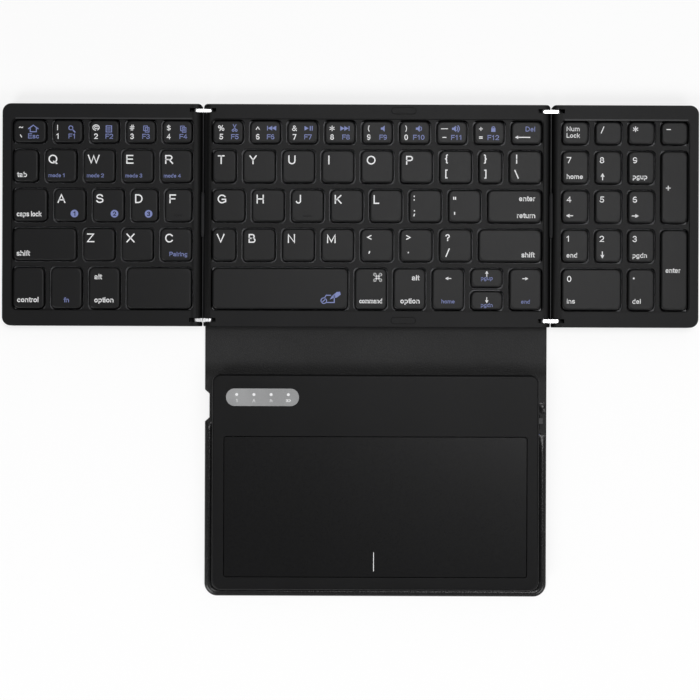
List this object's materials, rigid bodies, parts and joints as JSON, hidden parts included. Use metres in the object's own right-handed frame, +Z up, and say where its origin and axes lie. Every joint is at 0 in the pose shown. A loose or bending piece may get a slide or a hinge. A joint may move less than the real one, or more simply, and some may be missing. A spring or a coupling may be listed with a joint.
{
  "type": "folding keyboard",
  "caption": "Folding keyboard in three hinged key panels, with a touchpad unit on a soft cover that folds up and over the closed panels.",
  "frame": {"origin": "on the table under the middle of the open keyboard's bounding box", "axes": "+X to the user's right, +Y away from the user, +Z up"},
  "size_m": [0.3186, 0.226, 0.008],
  "materials": {
    "case": "fine matt texture",
    "key": "matt, smoother than the case",
    "cover": "soft artificial leather",
    "link_metal": "satin plated",
    "sheet_steel": "rolled sheet",
    "dome_rubber": "translucent silicone",
    "rubber": "matt",
    "cable": "sleeved flat cable",
    "board": "solder mask",
    "touch": "fine matt glide film",
    "battery": "foil pouch",
    "window": "smoked, translucent",
    "light": "clear light guide",
    "knob": "matt"
  },
  "bodies": {
    "center": {"center_frame": "case", "center_base": "case", "center_switch_plate": "sheet_steel", "center_domes": "dome_rubber", "controller_board": "board", "center_bumpers": "rubber", "cover_center": "cover", "flex_cables": "cable"},
    "left_link": {"left_links": "link_metal"},
    "left_panel": {"left_frame": "case", "left_base": "case", "left_switch_plate": "sheet_steel", "left_domes": "dome_rubber", "left_feet": "rubber"},
    "right_link": {"right_links": "link_metal"},
    "right_panel": {"right_frame": "case", "right_base": "case", "right_switch_plate": "sheet_steel", "right_domes": "dome_rubber", "right_feet": "rubber"},
    "spine": {"cover_spine": "cover"},
    "touchpad": {"cover_flap": "cover", "touchpad_base": "case", "touchpad_bezel": "case", "touchpad_board": "board", "battery": "battery", "indicator_window": "window", "indicator_leds": "light", "charging_port": "sheet_steel", "click_switch": "sheet_steel", "touchpad_screws": "sheet_steel"},
    "touch_surface": {"touch_surface": "touch"},
    "power_switch": {"power_switch": "knob"},
    "left_number_keys": {"left_number_keys": "key"},
    "left_tab_caps_keys": {"left_tab_caps_keys": "key"},
    "left_upper_letter_keys": {"left_upper_letter_keys": "key"},
    "left_home_letter_keys": {"left_home_letter_keys": "key"},
    "left_shift_key": {"left_shift_key": "key"},
    "left_lower_letter_keys": {"left_lower_letter_keys": "key"},
    "left_modifier_keys": {"left_modifier_keys": "key"},
    "left_space_key": {"left_space_key": "key"},
    "center_number_keys": {"center_number_keys": "key"},
    "center_upper_letter_keys": {"center_upper_letter_keys": "key"},
    "center_home_letter_keys": {"center_home_letter_keys": "key"},
    "center_enter_key": {"center_enter_key": "key"},
    "center_lower_letter_keys": {"center_lower_letter_keys": "key"},
    "center_shift_key": {"center_shift_key": "key"},
    "center_space_key": {"center_space_key": "key"},
    "center_modifier_keys": {"center_modifier_keys": "key"},
    "left_arrow_key": {"left_arrow_key": "key"},
    "up_arrow_key": {"up_arrow_key": "key"},
    "down_arrow_key": {"down_arrow_key": "key"},
    "right_arrow_key": {"right_arrow_key": "key"},
    "numpad_top_keys": {"numpad_top_keys": "key"},
    "numpad_upper_keys": {"numpad_upper_keys": "key"},
    "numpad_middle_keys": {"numpad_middle_keys": "key"},
    "numpad_lower_keys": {"numpad_lower_keys": "key"},
    "numpad_plus_key": {"numpad_plus_key": "key"},
    "numpad_enter_key": {"numpad_enter_key": "key"},
    "numpad_zero_dot_keys": {"numpad_zero_dot_keys": "key"}
  },
  "joints": [
    {"name": "left_panel_fold", "type": "hinge", "parent": "left_link", "child": "left_panel", "pos_m": [-0.07085, 0.06215, 0.004], "axis": [0, 1, 0], "range_deg": [0, 90]},
    {"name": "left_link_fold", "type": "hinge", "parent": "center", "child": "left_link", "pos_m": [-0.06445, 0.06215, 0.004], "axis": [0, 1, 0], "range_deg": [0, 90], "deforming": ["flex_cables"]},
    {"name": "right_panel_fold", "type": "hinge", "parent": "right_link", "child": "right_panel", "pos_m": [0.09515, 0.06215, 0.004], "axis": [0, -1, 0], "range_deg": [0, 90]},
    {"name": "right_link_fold", "type": "hinge", "parent": "center", "child": "right_link", "pos_m": [0.08875, 0.06215, 0.004], "axis": [0, -1, 0], "range_deg": [0, 90], "deforming": ["flex_cables"]},
    {"name": "spine_fold", "type": "hinge", "parent": "center", "child": "spine", "pos_m": [0.0118, 0.011, 0.001], "axis": [-1, 0, 0], "range_deg": [0, 90]},
    {"name": "touchpad_fold", "type": "hinge", "parent": "spine", "child": "touchpad", "pos_m": [0.0118, -0.01045, 0.001], "axis": [-1, 0, 0], "range_deg": [0, 90]},
    {"name": "touch_click", "type": "hinge", "parent": "touchpad", "child": "touch_surface", "pos_m": [0.0118, -0.03925, 0.007], "axis": [1, 0, 0], "range_deg": [0, 0.35], "stiffness_Nm_per_rad": 5, "springref_deg": -0.29},
    {"name": "power_slide", "type": "slide", "parent": "touchpad", "child": "power_switch", "axis": [0, -1, 0], "range_m": [0, 0.002]},
    {"name": "left_number_keys_press", "type": "slide", "parent": "left_panel", "child": "left_number_keys", "axis": [0, 0, -1], "range_m": [0, 0.0013], "stiffness_N_per_m": 250, "springref_m": -0.001, "deforming": ["left_domes"]},
    {"name": "left_tab_caps_keys_press", "type": "slide", "parent": "left_panel", "child": "left_tab_caps_keys", "axis": [0, 0, -1], "range_m": [0, 0.0013], "stiffness_N_per_m": 250, "springref_m": -0.001, "deforming": ["left_domes"]},
    {"name": "left_upper_letter_keys_press", "type": "slide", "parent": "left_panel", "child": "left_upper_letter_keys", "axis": [0, 0, -1], "range_m": [0, 0.0013], "stiffness_N_per_m": 250, "springref_m": -0.001, "deforming": ["left_domes"]},
    {"name": "left_home_letter_keys_press", "type": "slide", "parent": "left_panel", "child": "left_home_letter_keys", "axis": [0, 0, -1], "range_m": [0, 0.0013], "stiffness_N_per_m": 250, "springref_m": -0.001, "deforming": ["left_domes"]},
    {"name": "left_shift_key_press", "type": "slide", "parent": "left_panel", "child": "left_shift_key", "axis": [0, 0, -1], "range_m": [0, 0.0013], "stiffness_N_per_m": 250, "springref_m": -0.001, "deforming": ["left_domes"]},
    {"name": "left_lower_letter_keys_press", "type": "slide", "parent": "left_panel", "child": "left_lower_letter_keys", "axis": [0, 0, -1], "range_m": [0, 0.0013], "stiffness_N_per_m": 250, "springref_m": -0.001, "deforming": ["left_domes"]},
    {"name": "left_modifier_keys_press", "type": "slide", "parent": "left_panel", "child": "left_modifier_keys", "axis": [0, 0, -1], "range_m": [0, 0.0013], "stiffness_N_per_m": 250, "springref_m": -0.001, "deforming": ["left_domes"]},
    {"name": "left_space_key_press", "type": "slide", "parent": "left_panel", "child": "left_space_key", "axis": [0, 0, -1], "range_m": [0, 0.0013], "stiffness_N_per_m": 250, "springref_m": -0.001, "deforming": ["left_domes"]},
    {"name": "center_number_keys_press", "type": "slide", "parent": "center", "child": "center_number_keys", "axis": [0, 0, -1], "range_m": [0, 0.0013], "stiffness_N_per_m": 250, "springref_m": -0.001, "deforming": ["center_domes"]},
    {"name": "center_upper_letter_keys_press", "type": "slide", "parent": "center", "child": "center_upper_letter_keys", "axis": [0, 0, -1], "range_m": [0, 0.0013], "stiffness_N_per_m": 250, "springref_m": -0.001, "deforming": ["center_domes"]},
    {"name": "center_home_letter_keys_press", "type": "slide", "parent": "center", "child": "center_home_letter_keys", "axis": [0, 0, -1], "range_m": [0, 0.0013], "stiffness_N_per_m": 250, "springref_m": -0.001, "deforming": ["center_domes"]},
    {"name": "center_enter_key_press", "type": "slide", "parent": "center", "child": "center_enter_key", "axis": [0, 0, -1], "range_m": [0, 0.0013], "stiffness_N_per_m": 250, "springref_m": -0.001, "deforming": ["center_domes"]},
    {"name": "center_lower_letter_keys_press", "type": "slide", "parent": "center", "child": "center_lower_letter_keys", "axis": [0, 0, -1], "range_m": [0, 0.0013], "stiffness_N_per_m": 250, "springref_m": -0.001, "deforming": ["center_domes"]},
    {"name": "center_shift_key_press", "type": "slide", "parent": "center", "child": "center_shift_key", "axis": [0, 0, -1], "range_m": [0, 0.0013], "stiffness_N_per_m": 250, "springref_m": -0.001, "deforming": ["center_domes"]},
    {"name": "center_space_key_press", "type": "slide", "parent": "center", "child": "center_space_key", "axis": [0, 0, -1], "range_m": [0, 0.0013], "stiffness_N_per_m": 250, "springref_m": -0.001, "deforming": ["center_domes"]},
    {"name": "center_modifier_keys_press", "type": "slide", "parent": "center", "child": "center_modifier_keys", "axis": [0, 0, -1], "range_m": [0, 0.0013], "stiffness_N_per_m": 250, "springref_m": -0.001, "deforming": ["center_domes"]},
    {"name": "left_arrow_key_press", "type": "slide", "parent": "center", "child": "left_arrow_key", "axis": [0, 0, -1], "range_m": [0, 0.0013], "stiffness_N_per_m": 250, "springref_m": -0.001, "deforming": ["center_domes"]},
    {"name": "up_arrow_key_press", "type": "slide", "parent": "center", "child": "up_arrow_key", "axis": [0, 0, -1], "range_m": [0, 0.0013], "stiffness_N_per_m": 250, "springref_m": -0.001, "deforming": ["center_domes"]},
    {"name": "down_arrow_key_press", "type": "slide", "parent": "center", "child": "down_arrow_key", "axis": [0, 0, -1], "range_m": [0, 0.0013], "stiffness_N_per_m": 250, "springref_m": -0.001, "deforming": ["center_domes"]},
    {"name": "right_arrow_key_press", "type": "slide", "parent": "center", "child": "right_arrow_key", "axis": [0, 0, -1], "range_m": [0, 0.0013], "stiffness_N_per_m": 250, "springref_m": -0.001, "deforming": ["center_domes"]},
    {"name": "numpad_top_keys_press", "type": "slide", "parent": "right_panel", "child": "numpad_top_keys", "axis": [0, 0, -1], "range_m": [0, 0.0013], "stiffness_N_per_m": 250, "springref_m": -0.001, "deforming": ["right_domes"]},
    {"name": "numpad_upper_keys_press", "type": "slide", "parent": "right_panel", "child": "numpad_upper_keys", "axis": [0, 0, -1], "range_m": [0, 0.0013], "stiffness_N_per_m": 250, "springref_m": -0.001, "deforming": ["right_domes"]},
    {"name": "numpad_middle_keys_press", "type": "slide", "parent": "right_panel", "child": "numpad_middle_keys", "axis": [0, 0, -1], "range_m": [0, 0.0013], "stiffness_N_per_m": 250, "springref_m": -0.001, "deforming": ["right_domes"]},
    {"name": "numpad_lower_keys_press", "type": "slide", "parent": "right_panel", "child": "numpad_lower_keys", "axis": [0, 0, -1], "range_m": [0, 0.0013], "stiffness_N_per_m": 250, "springref_m": -0.001, "deforming": ["right_domes"]},
    {"name": "numpad_plus_key_press", "type": "slide", "parent": "right_panel", "child": "numpad_plus_key", "axis": [0, 0, -1], "range_m": [0, 0.0013], "stiffness_N_per_m": 250, "springref_m": -0.001, "deforming": ["right_domes"]},
    {"name": "numpad_enter_key_press", "type": "slide", "parent": "right_panel", "child": "numpad_enter_key", "axis": [0, 0, -1], "range_m": [0, 0.0013], "stiffness_N_per_m": 250, "springref_m": -0.001, "deforming": ["right_domes"]},
    {"name": "numpad_zero_dot_keys_press", "type": "slide", "parent": "right_panel", "child": "numpad_zero_dot_keys", "axis": [0, 0, -1], "range_m": [0, 0.0013], "stiffness_N_per_m": 250, "springref_m": -0.001, "deforming": ["right_domes"]}
  ]
}
